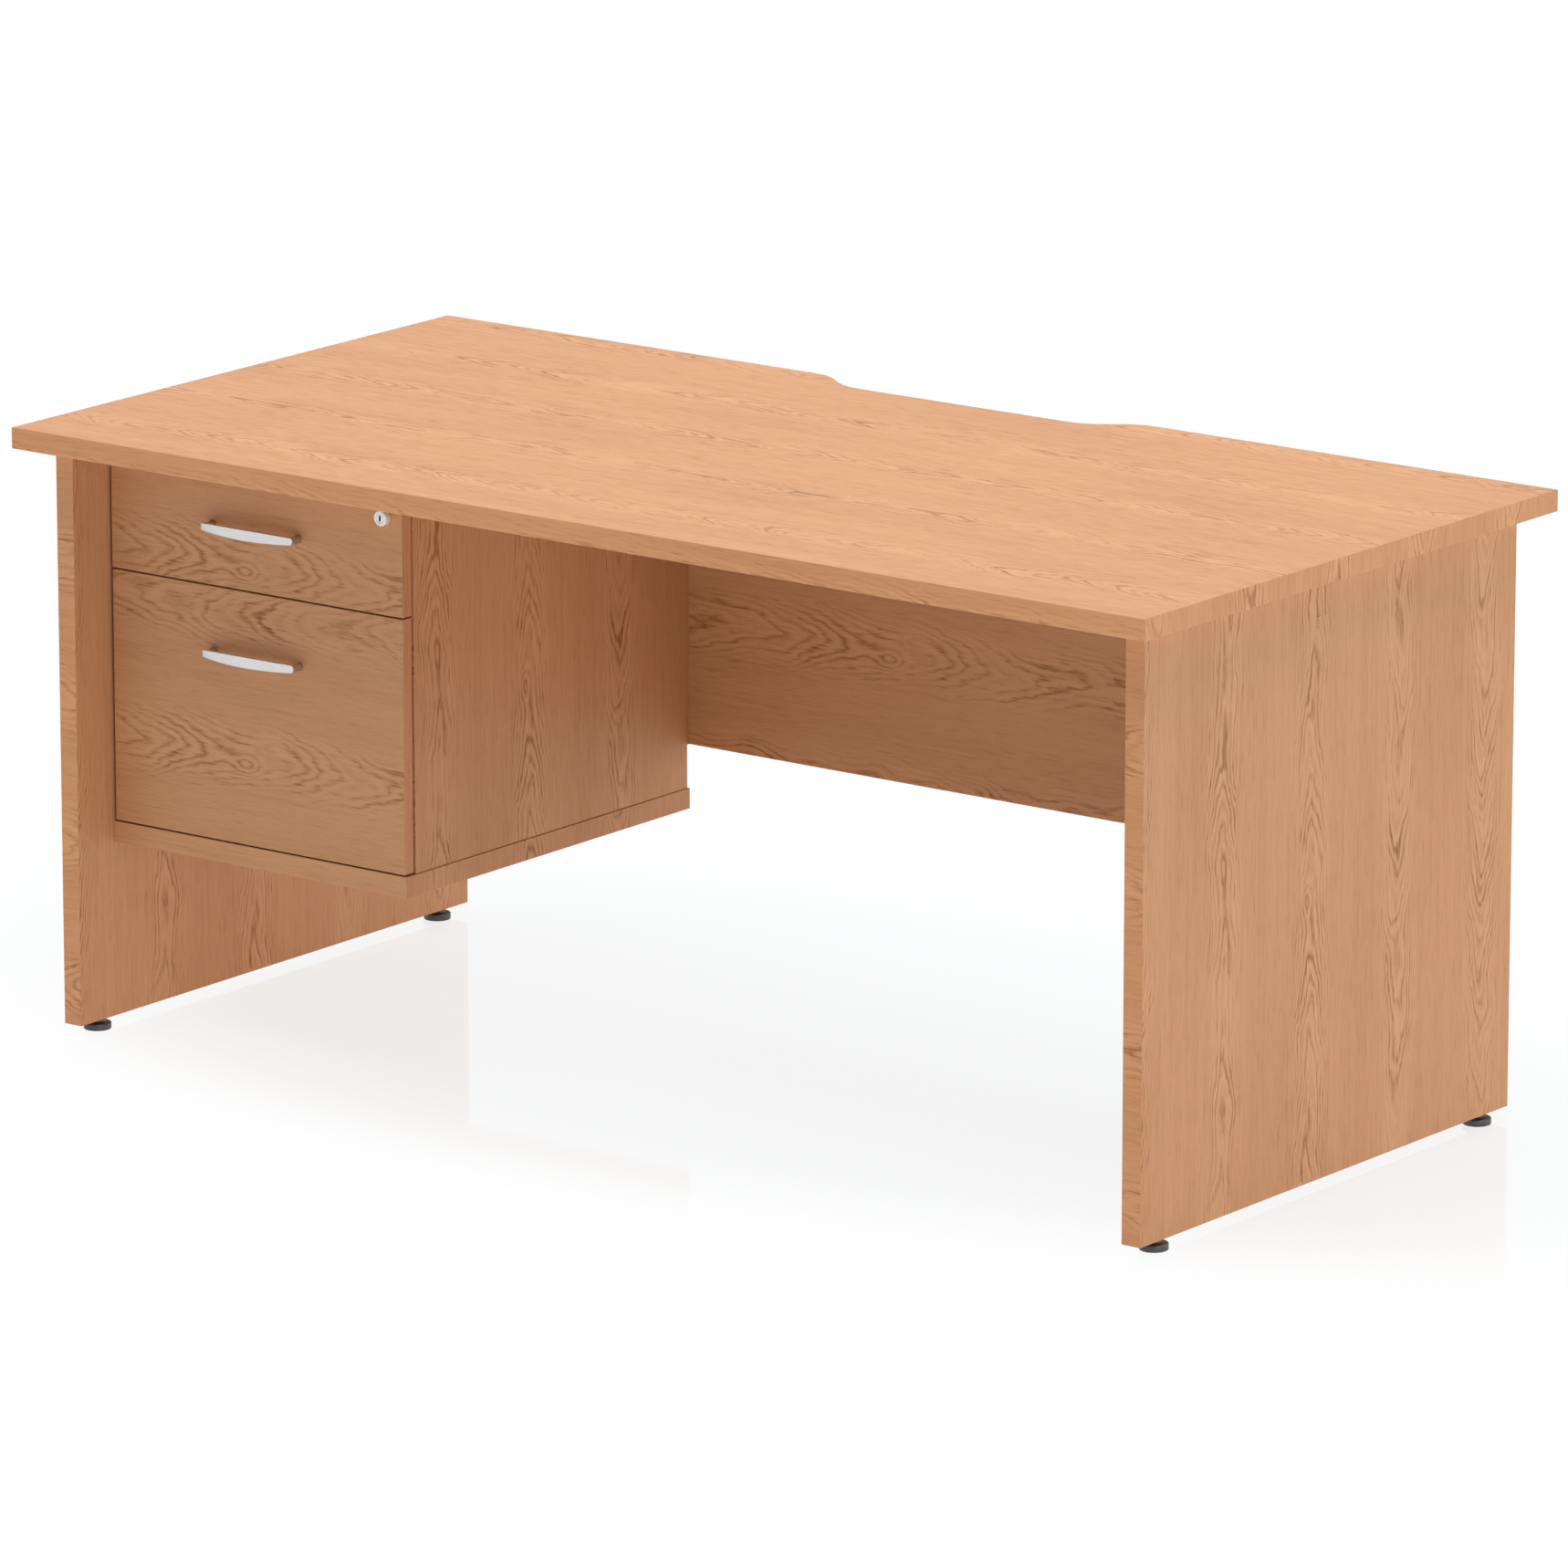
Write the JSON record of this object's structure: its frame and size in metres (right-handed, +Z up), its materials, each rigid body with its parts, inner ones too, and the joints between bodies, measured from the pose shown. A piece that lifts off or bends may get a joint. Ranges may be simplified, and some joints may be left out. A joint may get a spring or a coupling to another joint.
{
  "type": "panel end desk",
  "caption": "Oak-faced office desk on panel ends, with a modesty panel, a rear cable scallop and a hanging pedestal with a lockable stationery drawer over a filing drawer.",
  "frame": {"origin": "on the floor under the middle of the worktop, between the four feet", "axes": "+X along the front edge to the right as seen by the user, +Y to the rear, +Z up"},
  "size_m": [1.6, 0.8, 0.728],
  "materials": {
    "oak_board": "oak-faced board, satin",
    "wrapped_board": "pale grey wrapped board, satin",
    "hardboard": "white-faced hardboard, matt",
    "satin_aluminium": "satin",
    "nickel_plate": "satin nickel plate",
    "zinc_steel": "bright zinc plate",
    "grey_plastic": "moulded, satin"
  },
  "bodies": {
    "desk": {"desktop": "oak_board", "left_end_panel": "oak_board", "right_end_panel": "oak_board", "modesty_panel": "oak_board", "pedestal_base": "oak_board", "pedestal_left_side": "oak_board", "pedestal_right_side": "oak_board", "pedestal_back": "oak_board", "pedestal_top": "oak_board", "upper_drawer_left_runner_outer": "zinc_steel", "upper_drawer_right_runner_outer": "zinc_steel", "lower_drawer_left_runner_outer": "zinc_steel", "lower_drawer_right_runner_outer": "zinc_steel", "front_left_foot_insert": "zinc_steel", "front_right_foot_insert": "zinc_steel", "rear_left_foot_insert": "zinc_steel", "rear_right_foot_insert": "zinc_steel", "lock_bar_lower_guide": "zinc_steel", "lock_bar_upper_guide": "zinc_steel"},
    "upper_drawer": {"upper_drawer_front": "oak_board", "upper_drawer_left_side": "wrapped_board", "upper_drawer_right_side": "wrapped_board", "upper_drawer_back": "wrapped_board", "upper_drawer_bottom": "hardboard", "upper_drawer_handle": "satin_aluminium", "upper_drawer_left_runner_inner": "zinc_steel", "upper_drawer_right_runner_inner": "zinc_steel", "upper_drawer_striker": "zinc_steel", "lock_barrel": "nickel_plate", "lock_nut": "zinc_steel"},
    "upper_left_runner_outer_cage": {"upper_drawer_left_runner_outer_cage": "zinc_steel"},
    "upper_left_runner_middle": {"upper_drawer_left_runner_middle": "zinc_steel"},
    "upper_left_runner_inner_cage": {"upper_drawer_left_runner_inner_cage": "zinc_steel"},
    "upper_right_runner_outer_cage": {"upper_drawer_right_runner_outer_cage": "zinc_steel"},
    "upper_right_runner_middle": {"upper_drawer_right_runner_middle": "zinc_steel"},
    "upper_right_runner_inner_cage": {"upper_drawer_right_runner_inner_cage": "zinc_steel"},
    "lower_drawer": {"lower_drawer_front": "oak_board", "lower_drawer_left_side": "wrapped_board", "lower_drawer_right_side": "wrapped_board", "lower_drawer_back": "wrapped_board", "lower_drawer_bottom": "hardboard", "lower_drawer_handle": "satin_aluminium", "lower_drawer_left_runner_inner": "zinc_steel", "lower_drawer_right_runner_inner": "zinc_steel", "lower_drawer_striker": "zinc_steel", "lower_drawer_left_file_rail": "zinc_steel", "lower_drawer_right_file_rail": "zinc_steel"},
    "lower_left_runner_outer_cage": {"lower_drawer_left_runner_outer_cage": "zinc_steel"},
    "lower_left_runner_middle": {"lower_drawer_left_runner_middle": "zinc_steel"},
    "lower_left_runner_inner_cage": {"lower_drawer_left_runner_inner_cage": "zinc_steel"},
    "lower_right_runner_outer_cage": {"lower_drawer_right_runner_outer_cage": "zinc_steel"},
    "lower_right_runner_middle": {"lower_drawer_right_runner_middle": "zinc_steel"},
    "lower_right_runner_inner_cage": {"lower_drawer_right_runner_inner_cage": "zinc_steel"},
    "lock": {"lock_plug": "nickel_plate", "lock_cam": "zinc_steel"},
    "lock_bar": {"lock_bar": "zinc_steel"},
    "front_left_foot": {"front_left_foot": "grey_plastic"},
    "front_right_foot": {"front_right_foot": "grey_plastic"},
    "rear_left_foot": {"rear_left_foot": "grey_plastic"},
    "rear_right_foot": {"rear_right_foot": "grey_plastic"}
  },
  "joints": [
    {"name": "upper_drawer_slide", "type": "slide", "parent": "desk", "child": "upper_drawer", "axis": [0, -1, 0], "range_m": [0, 0.44]},
    {"name": "upper_left_outer_cage_slide", "type": "slide", "parent": "desk", "child": "upper_left_runner_outer_cage", "axis": [0, -1, 0], "range_m": [0, 0.11]},
    {"name": "upper_left_middle_slide", "type": "slide", "parent": "desk", "child": "upper_left_runner_middle", "axis": [0, -1, 0], "range_m": [0, 0.22]},
    {"name": "upper_left_inner_cage_slide", "type": "slide", "parent": "desk", "child": "upper_left_runner_inner_cage", "axis": [0, -1, 0], "range_m": [0, 0.33]},
    {"name": "upper_right_outer_cage_slide", "type": "slide", "parent": "desk", "child": "upper_right_runner_outer_cage", "axis": [0, -1, 0], "range_m": [0, 0.11]},
    {"name": "upper_right_middle_slide", "type": "slide", "parent": "desk", "child": "upper_right_runner_middle", "axis": [0, -1, 0], "range_m": [0, 0.22]},
    {"name": "upper_right_inner_cage_slide", "type": "slide", "parent": "desk", "child": "upper_right_runner_inner_cage", "axis": [0, -1, 0], "range_m": [0, 0.33]},
    {"name": "lower_drawer_slide", "type": "slide", "parent": "desk", "child": "lower_drawer", "axis": [0, -1, 0], "range_m": [0, 0.44]},
    {"name": "lower_left_outer_cage_slide", "type": "slide", "parent": "desk", "child": "lower_left_runner_outer_cage", "axis": [0, -1, 0], "range_m": [0, 0.11]},
    {"name": "lower_left_middle_slide", "type": "slide", "parent": "desk", "child": "lower_left_runner_middle", "axis": [0, -1, 0], "range_m": [0, 0.22]},
    {"name": "lower_left_inner_cage_slide", "type": "slide", "parent": "desk", "child": "lower_left_runner_inner_cage", "axis": [0, -1, 0], "range_m": [0, 0.33]},
    {"name": "lower_right_outer_cage_slide", "type": "slide", "parent": "desk", "child": "lower_right_runner_outer_cage", "axis": [0, -1, 0], "range_m": [0, 0.11]},
    {"name": "lower_right_middle_slide", "type": "slide", "parent": "desk", "child": "lower_right_runner_middle", "axis": [0, -1, 0], "range_m": [0, 0.22]},
    {"name": "lower_right_inner_cage_slide", "type": "slide", "parent": "desk", "child": "lower_right_runner_inner_cage", "axis": [0, -1, 0], "range_m": [0, 0.33]},
    {"name": "lock_turn", "type": "hinge", "parent": "upper_drawer", "child": "lock", "pos_m": [-0.3337, -0.294, 0.6663], "axis": [0, -1, 0], "range_deg": [0, 90]},
    {"name": "lock_bar_slide", "type": "slide", "parent": "desk", "child": "lock_bar", "axis": [0, 0, 1], "range_m": [0, 0.00778]},
    {"name": "front_left_foot_screw", "type": "slide", "parent": "desk", "child": "front_left_foot", "axis": [0, 0, -1], "range_m": [0, 0.01]},
    {"name": "front_right_foot_screw", "type": "slide", "parent": "desk", "child": "front_right_foot", "axis": [0, 0, -1], "range_m": [0, 0.01]},
    {"name": "rear_left_foot_screw", "type": "slide", "parent": "desk", "child": "rear_left_foot", "axis": [0, 0, -1], "range_m": [0, 0.01]},
    {"name": "rear_right_foot_screw", "type": "slide", "parent": "desk", "child": "rear_right_foot", "axis": [0, 0, -1], "range_m": [0, 0.01]}
  ],
  "couplings": [
    {"joint": "upper_left_outer_cage_slide", "follows": "upper_drawer_slide", "ratio": 0.25},
    {"joint": "upper_left_middle_slide", "follows": "upper_drawer_slide", "ratio": 0.5},
    {"joint": "upper_left_inner_cage_slide", "follows": "upper_drawer_slide", "ratio": 0.75},
    {"joint": "upper_right_outer_cage_slide", "follows": "upper_drawer_slide", "ratio": 0.25},
    {"joint": "upper_right_middle_slide", "follows": "upper_drawer_slide", "ratio": 0.5},
    {"joint": "upper_right_inner_cage_slide", "follows": "upper_drawer_slide", "ratio": 0.75},
    {"joint": "lower_left_outer_cage_slide", "follows": "lower_drawer_slide", "ratio": 0.25},
    {"joint": "lower_left_middle_slide", "follows": "lower_drawer_slide", "ratio": 0.5},
    {"joint": "lower_left_inner_cage_slide", "follows": "lower_drawer_slide", "ratio": 0.75},
    {"joint": "lower_right_outer_cage_slide", "follows": "lower_drawer_slide", "ratio": 0.25},
    {"joint": "lower_right_middle_slide", "follows": "lower_drawer_slide", "ratio": 0.5},
    {"joint": "lower_right_inner_cage_slide", "follows": "lower_drawer_slide", "ratio": 0.75},
    {"joint": "lock_turn", "follows": "lock_bar_slide", "rad_per_m": 201.94}
  ]
}
